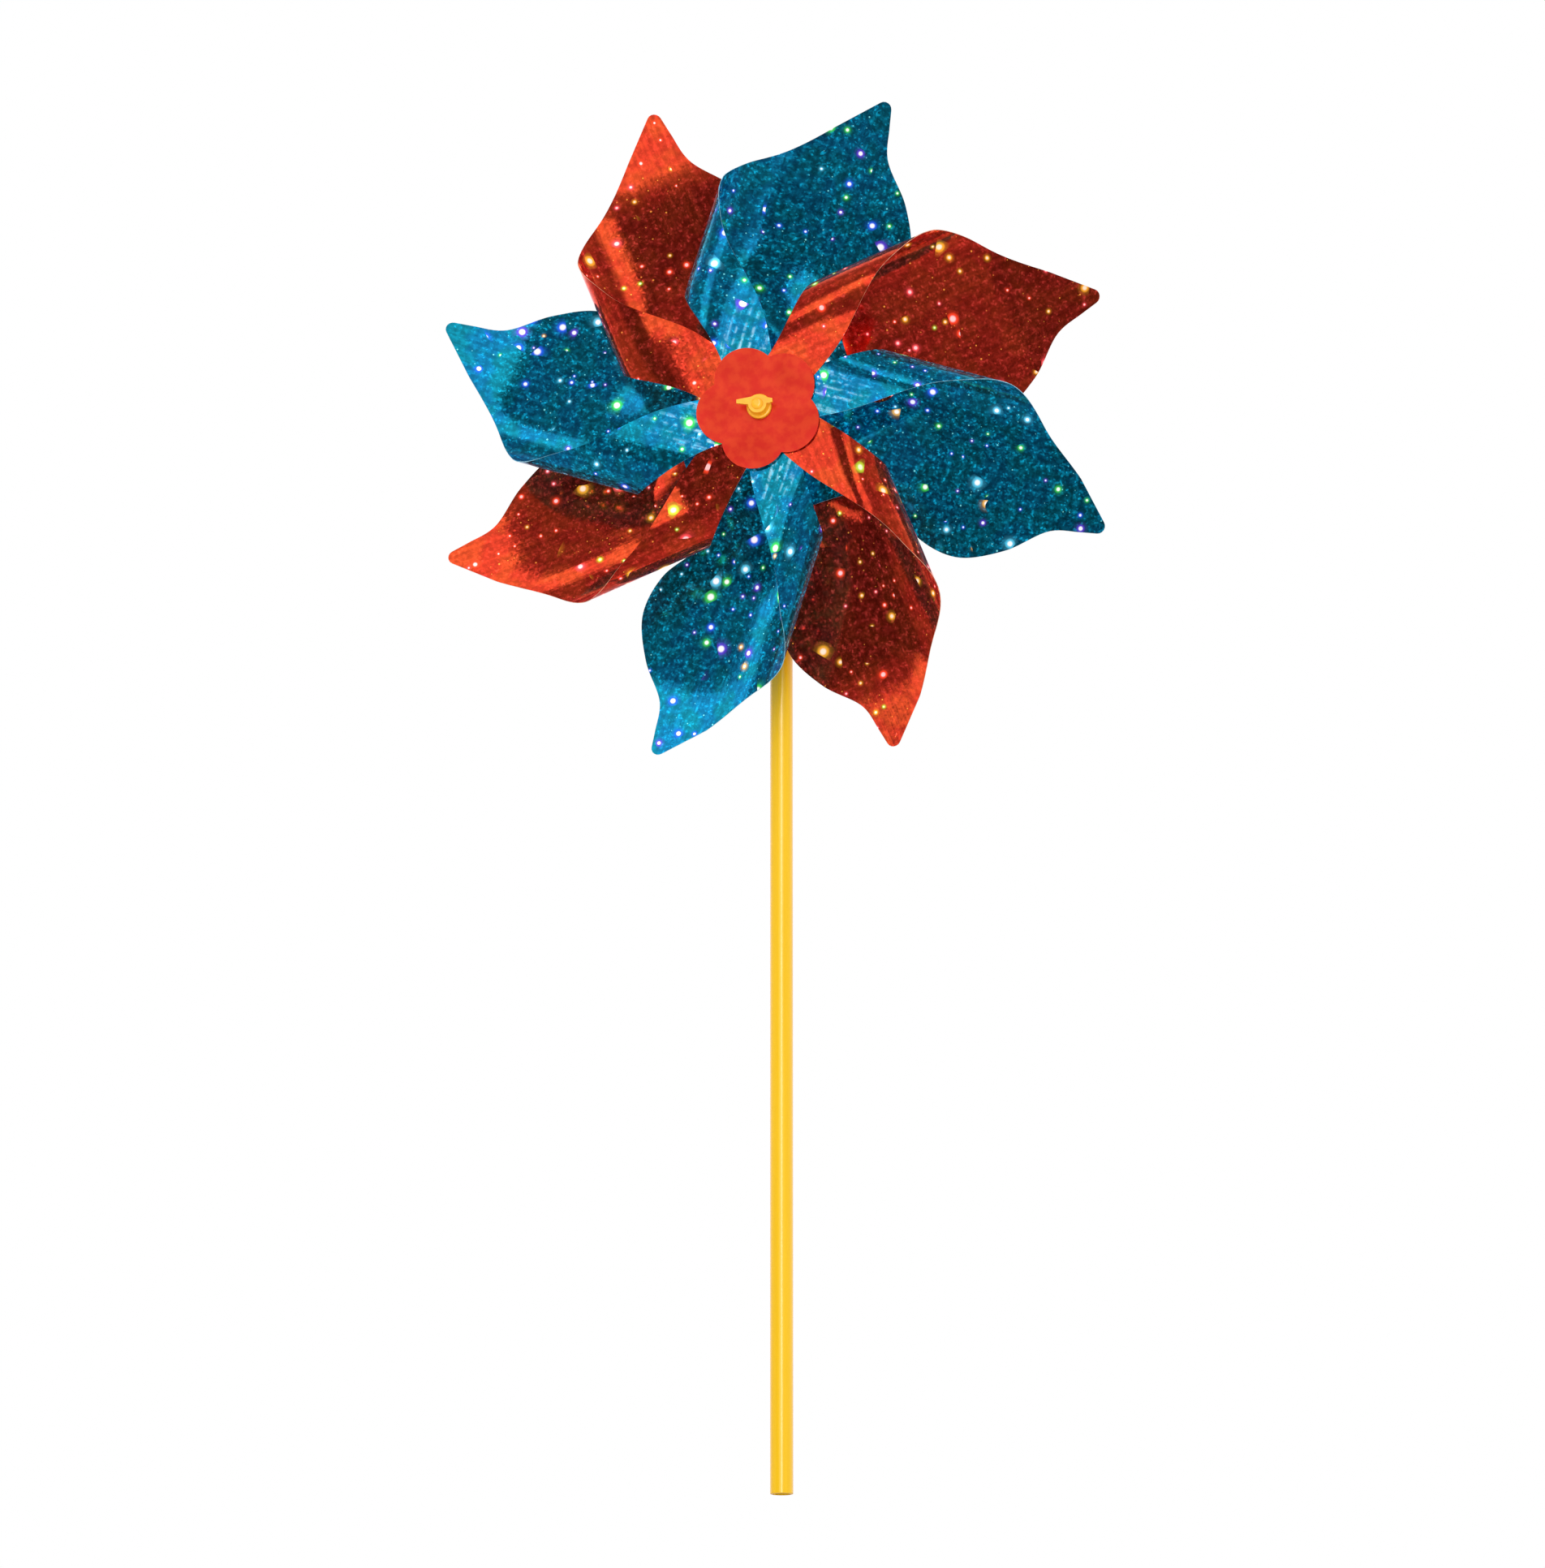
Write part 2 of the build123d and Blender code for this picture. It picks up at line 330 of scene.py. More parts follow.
def arm_mesh():
    """The flat arm cut into small triangles: points (u, q) and triangles."""
    outline = arm_outline()
    hole = np.array(arc((0.0, STRIP), HOLE_R, 0.0, 360.0, 0.6)[:-1])
    u_step, q_step, margin = 1.3, 0.85, 0.45
    us = np.arange(-8.0, 80.0, u_step)
    qs = np.arange(-2.0, 72.0, q_step)
    grid = np.array([(u + (u_step / 2 if j % 2 else 0.0), q) for j, q in enumerate(qs) for u in us])
    grid = grid[inside(grid, outline)]
    grid = grid[distance_to(grid, outline) > margin]
    grid = grid[np.hypot(grid[:, 0], grid[:, 1] - STRIP) > HOLE_R + margin]
    points = np.concatenate([outline, hole, grid])
    edges = loop_edges(0, len(outline)) + loop_edges(len(outline), len(hole))

    cut = delaunay_2d_cdt([Vector(p) for p in points], edges, [], 0, 1e-5)
    points = np.array([tuple(v) for v in cut[0]])
    triangles = np.array([tuple(f) for f in cut[2]])
    middles = points[triangles].mean(axis=1)
    triangles = triangles[inside(middles, outline) & ~inside(middles, hole)]
    a, b, c = (points[triangles[:, i]] for i in range(3))
    area = (b[:, 0] - a[:, 0]) * (c[:, 1] - a[:, 1]) - (b[:, 1] - a[:, 1]) * (c[:, 0] - a[:, 0])
    triangles[area < 0] = triangles[area < 0][:, ::-1]
    return points, triangles[np.abs(area) > 1e-6]


# ---------------------------------------------------------------- meshes
def thicken(points, normals, faces, thickness):
    """Gives a sheet its two faces and its cut edge."""
    count = len(points)
    front = [tuple(int(i) for i in face) for face in faces]
    sides = dict.fromkeys(side for face in front for side in zip(face, face[1:] + face[:1]))
    back = [tuple(i + count for i in face[::-1]) for face in front]
    edge = [(b, a, a + count, b + count) for a, b in sides if (b, a) not in sides]
    half = normals * thickness / 2
    return np.concatenate([points + half, points - half]), front + back + edge


def new_object(name, points_mm, faces, uvs):
    """Makes an object of a mesh given in mm, smooth but for its sharp edges."""
    mesh = bpy.data.meshes.new(name)
    mesh.from_pydata([tuple(p) for p in np.asarray(points_mm) * MM], [], faces)
    mesh.validate()
    corner_vertex = np.zeros(len(mesh.loops), np.int32)
    mesh.loops.foreach_get("vertex_index", corner_vertex)
    for layer, values in uvs.items():
        uv = mesh.uv_layers.new(name=layer)
        uv.data.foreach_set("uv", np.asarray(values, np.float32)[corner_vertex].ravel())
    work = bmesh.new()
    work.from_mesh(mesh)
    bmesh.ops.delete(work, geom=[v for v in work.verts if not v.link_faces], context="VERTS")
    for face in work.faces:
        face.smooth = True
    for edge in work.edges:
        edge.smooth = edge.calc_face_angle(0.0) < radians(40)
    work.to_mesh(mesh)
    work.free()
    piece = bpy.data.objects.new(name, mesh)
    bpy.context.scene.collection.objects.link(piece)
    return piece


def film_star(name, first_angle, first_rear, front, shapes):
    """A star of four arms, all curled to its front centre, their tabs stacked at the rear."""
    flat, arm_triangles = arm_mesh()
    u, q = flat[:, 0], flat[:, 1]
    points, normals, flat_uv, arm_uv, triangles = [], [], [], [], []
    for k in range(ARMS):
        arm = Arm(first_angle + 90.0 * k, first_rear + PITCH * k, front, 1.7 * k + first_rear, shapes[k])
        points.append(film_points(u, q, arm))
        normals.append(film_normals(u, q, arm))
        t = radians(-90.0 * k)
        flat_uv.append(np.stack([u * cos(t) - q * sin(t), u * sin(t) + q * cos(t)], axis=1))
        arm_uv.append(np.stack([u, STRIP - q], axis=1))
        triangles.append(arm_triangles + k * len(flat))
    points, normals = np.concatenate(points), np.concatenate(normals)
    flat_uv, arm_uv = np.concatenate(flat_uv), np.concatenate(arm_uv)

    # the arms share their points round the hub, so that the star is one sheet
    joined = np.arange(len(points))
    seen = {}
    for i in np.nonzero(np.hypot(flat_uv[:, 0], flat_uv[:, 1]) < HUB_R + 0.2)[0]:
        key = (round(float(flat_uv[i, 0]), 3), round(float(flat_uv[i, 1]), 3))
        joined[i] = seen.setdefault(key, i)
    solid, faces = thicken(points, normals, joined[np.concatenate(triangles)], FILM)
    uvs = {"flat": np.concatenate([flat_uv, flat_uv]), "arm": np.concatenate([arm_uv, arm_uv])}
    star = new_object(name, solid, faces, uvs)
    for polygon in star.data.polygons:
        polygon.material_index = 1 if len(polygon.vertices) == 4 else 0  # the cut edge is quads
    return star


def petal_edge(t, outer_r, notch_r, petals):
    """How far the flower's edge is from the axis, at an angle from the middle of its first petal."""
    half = pi / petals
    centre_r = (outer_r**2 - notch_r**2) / (2 * (outer_r - notch_r * cos(half)))
    petal_r = outer_r - centre_r
    from_petal = (t + half) % (2 * half) - half
    return centre_r * cos(from_petal) + (petal_r**2 - (centre_r * sin(from_petal)) ** 2) ** 0.5


def flower(name):
    """Five round petals of thin film, gently cupped and creased between them."""
    outer_r, notch_r, petals = 14.0, 11.4, 5
    rings, spokes = 22, 160
    points, flat = [], []
    for i in range(rings + 1):
        for j in range(spokes):
            t = 2 * pi * j / spokes
            r = HOLE_R + (petal_edge(t, outer_r, notch_r, petals) - HOLE_R) * i / rings
            out = float(smoothstep(4.0, outer_r, r))
            cup = 0.7 * out * (0.45 + 0.55 * cos(petals * t)) + 0.25 * out * sin(2 * t + 0.7)
            crease = 0.05 * out * sin(3 * t + 1.1) * sin(r / 2.1)
            depth = FLOWER_BACK + 0.125 + 0.28 * out + 0.5 * cup + crease
            a = radians(FLOWER_ANGLE) + t
            points.append((r * sin(a), -depth, AXLE_HEIGHT + r * cos(a)))
            flat.append((r * sin(t), r * cos(t)))
    quads = []
    for i in range(rings):
        for j in range(spokes):
            a, b = i * spokes + j, i * spokes + (j + 1) % spokes
            quads.append((b, b + spokes, a + spokes, a))
    sheet = bpy.data.meshes.new("sheet")
    sheet.from_pydata(points, [], quads)
    normals = np.array([tuple(v.normal) for v in sheet.vertices])
    bpy.data.meshes.remove(sheet)
    solid, faces = thicken(np.array(points), normals, quads, FLOWER_FILM)
    return new_object(name, solid, faces, {"flat": np.array(flat + flat)})


# ---------------------------------------------------------------- materials
class Graph:
    """Short ways to write shader nodes."""

    def __init__(self, tree):
        self.tree = tree
        tree.nodes.clear()

    def node(self, kind, **settings):
        made = self.tree.nodes.new(kind)
        for key, value in settings.items():
            setattr(made, key, value)
        return made

    def link(self, source, target):
        if hasattr(source, "is_output"):
            self.tree.links.new(source, target)
        else:
            target.default_value = source

    def math(self, operation, a, b=0.0, clamp=False):
        made = self.node("ShaderNodeMath", operation=operation, use_clamp=clamp)
        self.link(a, made.inputs[0])
        self.link(b, made.inputs[1])
        return made.outputs[0]

    def times(self, a, b):
        return self.math("MULTIPLY", a, b)

    def vector(self, operation, a, b=None, scale=None):
        made = self.node("ShaderNodeVectorMath", operation=operation)
        self.link(a, made.inputs[0])
        if b is not None:
            self.link(b, made.inputs[1])
        if scale is not None:
            self.link(scale, made.inputs["Scale"])
        return made.outputs[0]

    def dot(self, a, b):
        made = self.node("ShaderNodeVectorMath", operation="DOT_PRODUCT")
        self.link(a, made.inputs[0])
        self.link(b, made.inputs[1])
        return made.outputs["Value"]

    def ramp(self, value, start, end, low=0.0, high=1.0):
        made = self.node("ShaderNodeMapRange", interpolation_type="SMOOTHSTEP")
        self.link(value, made.inputs["Value"])
        self.link(start, made.inputs["From Min"])
        self.link(end, made.inputs["From Max"])
        made.inputs["To Min"].default_value = low
        made.inputs["To Max"].default_value = high
        return made.outputs["Result"]

    def mix(self, factor, a, b, blend="MIX"):
        made = self.node("ShaderNodeMix", data_type="RGBA", blend_type=blend)
        self.link(factor, made.inputs["Factor"])
        self.link(a, made.inputs["A"])
        self.link(b, made.inputs["B"])
        return made.outputs["Result"]

    def grey(self, value):
        made = self.node("ShaderNodeCombineColor")
        for channel in ("Red", "Green", "Blue"):
            self.link(value, made.inputs[channel])
        return made.outputs["Color"]

    def channels(self, colour):
        made = self.node("ShaderNodeSeparateColor")
        self.link(colour, made.inputs["Color"])
        return made.outputs

    def noise(self, vector, scale, detail=2.0, dimensions="3D"):
        made = self.node("ShaderNodeTexNoise", noise_dimensions=dimensions)
        self.link(vector, made.inputs["Vector"])
        made.inputs["Scale"].default_value = scale
        made.inputs["Detail"].default_value = detail
        return made.outputs["Fac"]

    def voronoi(self, vector, scale):
        made = self.node("ShaderNodeTexVoronoi", voronoi_dimensions="2D", feature="F1")
        self.link(vector, made.inputs["Vector"])
        made.inputs["Scale"].default_value = scale
        return made.outputs

    def steps(self, value, colours):
        """Plain bands of colour, each from its place on a scale from 0 to 1."""
        made = self.node("ShaderNodeValToRGB")
        made.color_ramp.interpolation = "CONSTANT"
        while len(made.color_ramp.elements) < len(colours):
            made.color_ramp.elements.new(0.5)
        for element, (position, colour) in zip(made.color_ramp.elements, colours):
            element.position = position
            element.color = rgba(*colour)
        self.link(value, made.inputs["Fac"])
        return made.outputs["Color"]

    def bump(self, height, strength, distance):
        made = self.node("ShaderNodeBump")
        made.inputs["Strength"].default_value = strength
        made.inputs["Distance"].default_value = distance
        self.link(height, made.inputs["Height"])
        return made.outputs["Normal"]


def new_material(name):
    material = bpy.data.materials.new(name)
    material.use_nodes = True
    graph = Graph(material.node_tree)
    shader = graph.node("ShaderNodeBsdfPrincipled")
    output = graph.node("ShaderNodeOutputMaterial")
    graph.link(shader.outputs["BSDF"], output.inputs["Surface"])
    return material, graph, shader.inputs


def rgba(r, g, b):
    return (r, g, b, 1.0)


class FilmLook(NamedTuple):
    """What differs between the two films."""

    colours: tuple  # the film's own colour drifts between these two
    painted_glow_colour: tuple  # colour of the painted glow that the film gives off, strongest at its tiny flecks
    hues: tuple  # colours of the large flecks, each from its place on a scale from 0 to 1
    glint_whiteness: float  # how white the painted glint in the middle of a large fleck is
    glint: tuple  # colour of the small flecks, painted glints
    glare_strength: float  # how strongly painted glare streaks make the film paler beside the flower
    offset: float  # shifts the pattern


ORANGE_LOOK = FilmLook(
    colours=((0.90, 0.094, 0.021), (0.84, 0.058, 0.020)),
    painted_glow_colour=(0.050, 0.004, 0.004),
    hues=(
        (0.0, (1.0, 0.06, 0.02)),
        (0.40, (1.0, 0.42, 0.03)),
        (0.66, (0.92, 0.07, 0.08)),
        (0.86, (0.50, 0.70, 0.04)),
    ),
    glint_whiteness=0.5,
    glint=(1.0, 0.36, 0.05),
    glare_strength=0.0,
    offset=137.0,
)
BLUE_LOOK = FilmLook(
    colours=((0.003, 0.295, 0.42), (0.004, 0.250, 0.52)),
    painted_glow_colour=(0.0008, 0.060, 0.098),
    hues=(
        (0.0, (0.02, 0.11, 0.80)),
        (0.34, (0.10, 0.04, 0.60)),
        (0.58, (0.04, 0.55, 0.07)),
        (0.82, (0.10, 0.60, 0.85)),
        (0.94, (0.95, 0.50, 0.10)),
    ),
    glint_whiteness=0.85,
    glint=(0.20, 0.80, 0.85),
    glare_strength=0.75,
    offset=411.0,
)
# colour of the painted glare streaks beside the flower
GLARE_COLOUR = (0.62, 0.90, 0.98)
GRAIN_TILT = 0.02
# sizes of the film's patterns, mm
GRAIN_SIZE = 0.42
MOTTLE_SIZE = 1.5
DRIFT_SIZE = 7.0
CLUSTER_SIZE = 15.0


class Flecks:
    """Round flecks of glitter scattered over the film, drawn as painted glints with pale cores and halos.
    """

    def __init__(self, graph, place, cell, share, smallest, largest, cluster):
        cells = graph.voronoi(place, 1.0 / cell)
        random = graph.channels(cells["Color"])
        distance = graph.times(cells["Distance"], cell)
        spread = graph.math("POWER", random["Green"], 3.2)
        radius = graph.math("ADD", graph.times(spread, largest - smallest), smallest)
        self.graph = graph
        self.chosen = graph.math("LESS_THAN", random["Red"], graph.times(cluster, share))
        self.apart = graph.math("DIVIDE", distance, radius)
        self.pick = random["Blue"]  # a random value for each fleck

    def layer(self, start, end):
        """Full up to one multiple of a fleck's radius, and fading out to another."""
        return self.graph.times(self.graph.ramp(self.apart, start, end, 1.0, 0.0), self.chosen)


def film_patterns(graph, look):
    """The patterns on a film: its flecks, fine grain, mottle and brushed streaks."""
    film = SimpleNamespace()
    flat_uv = graph.node("ShaderNodeUVMap", uv_map="flat").outputs["UV"]
    place = graph.vector("ADD", flat_uv, (look.offset, look.offset * 0.7, 0.0))
    arm_uv = graph.node("ShaderNodeUVMap", uv_map="arm").outputs["UV"]
    arm = graph.node("ShaderNodeSeparateXYZ")
    graph.link(arm_uv, arm.inputs[0])

    # large and small flecks of glitter, denser in some places than in others, painted as glints: pale
    # cores, coloured rims and wide halos of painted glare
    cluster = graph.ramp(graph.noise(place, 1 / CLUSTER_SIZE, 1.0, "2D"), 0.40, 0.62, 0.25, 1.0)
    large = Flecks(graph, place, cell=3.6, share=0.44, smallest=0.26, largest=1.05, cluster=cluster)
    small = Flecks(graph, place, cell=1.5, share=0.17, smallest=0.11, largest=0.28, cluster=cluster)
    film.core, film.rim, film.wide = large.layer(0.45, 1.0), large.layer(1.0, 1.75), large.layer(1.2, 3.2)
    film.small = small.layer(0.45, 1.0)
    film.hue = graph.steps(large.pick, look.hues)
    film.pale = graph.mix(look.glint_whiteness, film.hue, rgba(1.0, 1.0, 1.0))

    film.grain = graph.voronoi(place, 1 / GRAIN_SIZE)["Color"]
    film.specks = graph.math("POWER", graph.channels(film.grain)["Red"], 5.0)
    film.mottle = graph.noise(place, 1 / MOTTLE_SIZE, 3.0, "2D")
    film.drift = graph.noise(place, 1 / DRIFT_SIZE, 2.0, "2D")
    film.streaks = graph.noise(graph.vector("MULTIPLY", arm_uv, (0.05, 1.0, 1.0)), 1.1, 4.0, "2D")
    film.lines = graph.ramp(film.streaks, 0.35, 0.68, 0.88, 1.14)

    # beside the flower, on the arms' front halves, where glare streaks are painted
    near_axis = graph.ramp(arm.outputs["X"], 12.0, 25.0, 1.0, 0.0)
    front_half = graph.ramp(arm.outputs["Y"], STRIP - 16.0, STRIP - 10.0)
    film.beside_flower = graph.times(near_axis, front_half)
    return film


def film_colour(graph, look, film):
    """The film's colour: its own, mottled and streaked, with painted glare streaks beside the flower and
    its flecks painted as glints.
    """
    shade = graph.math("ADD", graph.times(film.specks, 0.30), 0.84)
    shade = graph.times(shade, graph.ramp(film.mottle, 0.32, 0.70, 0.84, 1.14))
    shade = graph.grey(graph.times(shade, film.lines))
    first, second = (rgba(*colour) for colour in look.colours)
    body = graph.mix(graph.ramp(film.drift, 0.38, 0.62), first, second)
    body = graph.mix(1.0, body, shade, "MULTIPLY")

    # painted glare: pale streaks beside the flower stand in for a lamp's glare on the film
    painted_glare = graph.times(film.beside_flower, graph.ramp(film.streaks, 0.50, 0.78, 0.0, look.glare_strength))
    painted_glare = graph.times(painted_glare, graph.ramp(film.mottle, 0.42, 0.60))
    body = graph.mix(painted_glare, body, rgba(*GLARE_COLOUR))

    # the flecks: small painted glints, halos and rims of painted glare in their hues, and pale painted
    # glints at their cores
    body = graph.mix(graph.math("MULTIPLY", film.small, 0.85, True), body, rgba(*look.glint))
    body = graph.mix(graph.times(film.wide, 0.30), body, film.hue)
    body = graph.mix(graph.times(film.rim, 0.80), body, film.hue)
    return graph.mix(film.core, body, film.pale)


def film_glow(graph, look, film):
    """A faint painted glow: light the film gives off of its own, lifting its dark parts, brightest at its
    flecks and grains, whichever way the film faces.
    """
    sparkle = graph.math("ADD", graph.times(film.specks, 2.2), 0.35)
    sparkle = graph.times(sparkle, graph.ramp(film.mottle, 0.36, 0.70, 0.35, 2.1))
    sparkle = graph.grey(graph.times(sparkle, graph.math("POWER", film.lines, 2.0)))
    glow = graph.mix(1.0, rgba(*look.painted_glow_colour), sparkle, "MULTIPLY")
    glow = graph.mix(graph.times(film.small, 0.7), glow, rgba(*look.glint))
    glow = graph.mix(graph.times(film.wide, 0.14), glow, film.hue)
    glow = graph.mix(graph.times(film.rim, 0.75), glow, film.hue)
    return graph.mix(film.core, glow, film.pale)


def film_normal(graph, film):
    """Fine streaks, with each grain tilted a little, which blurs what the film mirrors."""
    tilt = graph.vector("SUBTRACT", film.grain, (0.5, 0.5, 0.5))
    tilt = graph.vector("SCALE", tilt, scale=GRAIN_TILT)
    normal = graph.vector("ADD", graph.bump(film.streaks, 0.25, 0.00003), tilt)
    return graph.vector("NORMALIZE", normal)


def film_material(name, look):
    """Metallised film with holographic flecks painted as glints, a fine grain, brushed streaks along each
    arm, painted glare streaks beside the flower and a painted glow.
    """
    material, graph, shader = new_material(name)
    film = film_patterns(graph, look)
    graph.link(film_colour(graph, look, film), shader["Base Color"])
    graph.link(film_glow(graph, look, film), shader["Emission Color"])
    graph.link(film_normal(graph, film), shader["Normal"])
    # painted glow: the film gives off light though it is no lamp
    shader["Emission Strength"].default_value = 1.0
    shader["Metallic"].default_value = 0.88
    shader["Roughness"].default_value = 0.10
    return material


def edge_material(name, colour):
    """The film's cut edge, paler than its faces: partly the cut film's own colour, partly a painted
    highlight for the glints along its edges.
    """
    material, graph, shader = new_material(name)
    coordinates = graph.node("ShaderNodeTexCoord").outputs["Object"]
    tone = graph.ramp(graph.noise(coordinates, 900.0, 2.0), 0.35, 0.65)
    darker = tuple(0.55 * c for c in colour)
    graph.link(graph.mix(tone, rgba(*darker), rgba(*colour)), shader["Base Color"])
    shader["Roughness"].default_value = 0.35
    return material


def flower_material():
    """Red film with a soft mottle, duller than the blades."""
    material, graph, shader = new_material("flower_film")
    uv = graph.node("ShaderNodeUVMap", uv_map="flat").outputs["UV"]
    mottle = graph.noise(uv, 1 / 2.4, 4.0, "2D")
    tone = graph.ramp(mottle, 0.3, 0.7)
    body = graph.mix(tone, rgba(0.92, 0.030, 0.012), rgba(1.0, 0.064, 0.016))
    graph.link(body, shader["Base Color"])
    graph.link(graph.bump(mottle, 0.2, 0.00006), shader["Normal"])
    shader["Metallic"].default_value = 0.45
    shader["Roughness"].default_value = 0.30
    return material


# Grain of the plastics along X, Y and Z: drawn along the stick, even on the pin, drawn along the spacers.
STICK_GRAIN = (900.0, 900.0, 12.0)
PIN_GRAIN = (500.0, 500.0, 500.0)
SPACER_GRAIN = (400.0, 40.0, 400.0)


def plastic_material(name, colour, darker, roughness, grain_scale):
    """Glossy plastic with fine draw lines or a soft moulded mottle."""
    material, graph, shader = new_material(name)
    coordinates = graph.node("ShaderNodeTexCoord").outputs["Object"]
    grain = graph.noise(graph.vector("MULTIPLY", coordinates, grain_scale), 1.0, 3.0)
    tone = graph.ramp(grain, 0.3, 0.7)
    graph.link(graph.mix(tone, rgba(*darker), rgba(*colour)), shader["Base Color"])
    graph.link(graph.ramp(grain, 0.2, 0.8, roughness * 0.8, roughness * 1.3), shader["Roughness"])
    graph.link(graph.bump(grain, 0.15, 0.00005), shader["Normal"])
    shader["IOR"].default_value = 1.5
    shader["Coat Weight"].default_value = 0.4
    shader["Coat Roughness"].default_value = 0.05
    return material


def give(piece, *materials):
    """Puts materials in a piece's slots, in order."""
    kept = [polygon.material_index for polygon in piece.data.polygons]
    piece.data.materials.clear()
    for material in materials:
        piece.data.materials.append(material)
    if len(materials) > 1:
        piece.data.polygons.foreach_set("material_index", kept)


# ---------------------------------------------------------------- camera, light and floor
CAMERA_AZIMUTH = 9.5
CAMERA_ELEVATION = -12.0
CAMERA_DISTANCE = 1.6
CAMERA_TARGET_Y = -0.012
FRAME_SHARE = 0.88  # how much of the picture's height the pinwheel takes

# Panels that the film mirrors. Angles are from the direction that flat film mirrors to the camera, in
# degrees, and a way round that direction is given as (right, up).
WINDOW_R = 10.5
WINDOW_LIGHT = 0.92
RING_IN = 27.0
RING_OUT = 40.0
RING_LIGHT = 1.05
RING_WAY = (0.45, 0.89)  # the middle of the ring, which is open on the opposite side
NOTCH_WAY = (0.973, -0.23)  # the ring is dim there
DARK_PANELS = ((0.93, 0.38, 0.62), (-0.93, -0.38, 0.88), (-0.30, -0.95, 0.55))  # right, up, how dark
DARK_TINT = (1.0, 0.66, 0.80)
FLOOR_HALF = 6.0
FLOOR_HEIGHT = -0.45
LAMP_WIDTH = 0.34
LAMP_HEIGHT = 1.6
LAMP_POWER = 9.0
LAMP_DISTANCE = 1.4


def towards(azimuth, elevation):
    """A unit vector: azimuth 0 is -Y and 90 is +X, in degrees."""
    a, e = radians(azimuth), radians(elevation)
    return Vector((sin(a) * cos(e), -cos(a) * cos(e), sin(e)))


def place_facing(thing, target, away):
    """Puts a camera or lamp away from its target and turns it back at it."""
    thing.location = target + away
    thing.rotation_euler = (-away).to_track_quat("-Z", "Y").to_euler()
    bpy.context.scene.collection.objects.link(thing)


def make_camera():
    """The camera, a long way off, a little to the right of the pinwheel and below it."""
    lo, hi = cad_box
    target = Vector((0.0, CAMERA_TARGET_Y, (lo.z + hi.z) / 2))
    shown_height = (hi.z - lo.z) * cos(radians(CAMERA_ELEVATION)) / FRAME_SHARE
    data = bpy.data.cameras.new("camera")
    data.sensor_width = 36.0
    data.lens = data.sensor_width * CAMERA_DISTANCE / shown_height
    data.clip_start, data.clip_end = 0.05, 50.0
    camera = bpy.data.objects.new("camera", data)
    place_facing(camera, target, towards(CAMERA_AZIMUTH, CAMERA_ELEVATION) * CAMERA_DISTANCE)
    bpy.context.scene.camera = camera


def studio_panels(graph, direction):
    """What the film mirrors in each direction: its dim surroundings and its bright panels."""
    centre = towards(-CAMERA_AZIMUTH, -CAMERA_ELEVATION)
    across = Vector((0, 0, 1)).cross(centre).normalized()
    upward = centre.cross(across).normalized()
    turned = graph.math("ARCCOSINE", graph.dot(direction, centre))
    angle = graph.times(turned, 180 / pi)
    length = graph.math("MAXIMUM", graph.math("SINE", turned), 0.01)

    def facing(right, up):
        """How nearly a direction points the given way round the centre, from -1 to 1."""
        return graph.math("DIVIDE", graph.dot(direction, across * right + upward * up), length)

    dim = graph.ramp(angle, 20.0, 100.0, 0.17, 0.38)
    for right, up, depth in DARK_PANELS:
        near_centre = graph.ramp(angle, 30.0, 45.0, depth, 0.0)
        panel = graph.times(graph.ramp(facing(right, up), 0.84, 0.95), near_centre)
        dim = graph.times(dim, graph.math("SUBTRACT", 1.0, panel))

    window = graph.ramp(angle, WINDOW_R - 1.5, WINDOW_R + 1.5, 1.0, 0.0)
    inner = graph.ramp(angle, RING_IN - 1.5, RING_IN + 1.5)
    outer = graph.ramp(angle, RING_OUT - 4.0, RING_OUT + 4.0, 1.0, 0.0)
    ring = graph.times(graph.times(inner, outer), graph.ramp(facing(*RING_WAY), -0.42, -0.30))
    ring = graph.times(ring, graph.ramp(facing(*NOTCH_WAY), 0.955, 0.975, 1.0, 0.15))
    bright = graph.math("ADD", graph.times(window, WINDOW_LIGHT), graph.times(ring, RING_LIGHT))
    return dim, bright


def background(graph, colour, strength):
    made = graph.node("ShaderNodeBackground")
    made.inputs["Color"].default_value = rgba(*colour)
    graph.link(strength, made.inputs["Strength"])
    return made.outputs[0]


def make_world():
    """A white backdrop, even fill for plastic, and the panels that the film mirrors."""
    world = bpy.data.worlds.new("studio")
    bpy.context.scene.world = world
    world.use_nodes = True
    graph = Graph(world.node_tree)
    direction = graph.node("ShaderNodeTexCoord").outputs["Generated"]
    parts = graph.node("ShaderNodeSeparateXYZ")
    graph.link(direction, parts.inputs[0])
    y, z = parts.outputs["Y"], parts.outputs["Z"]
    path = graph.node("ShaderNodeLightPath").outputs
    diffuse = path["Is Diffuse Ray"]
    mirrored = graph.math("SUBTRACT", 1.0, diffuse)

    dim, bright = studio_panels(graph, direction)
    behind = graph.times(graph.ramp(y, 0.0, 0.5), graph.ramp(z, -0.30, 0.25, 0.10, 0.85))
    bright = graph.times(graph.math("ADD", bright, behind), mirrored)
    fill = graph.times(graph.ramp(z, -0.8, 0.9, 0.85, 1.20), diffuse)
    studio = graph.node("ShaderNodeAddShader")
    graph.link(background(graph, DARK_TINT, graph.times(dim, mirrored)), studio.inputs[0])
    graph.link(background(graph, (1.0, 1.0, 1.0), graph.math("ADD", bright, fill)), studio.inputs[1])

    seen = graph.node("ShaderNodeMixShader")
    graph.link(path["Is Camera Ray"], seen.inputs["Fac"])
    graph.link(studio.outputs[0], seen.inputs[1])
    graph.link(background(graph, (1.0, 1.0, 1.0), 1.0), seen.inputs[2])
    output = graph.node("ShaderNodeOutputWorld")
    graph.link(seen.outputs[0], output.inputs["Surface"])


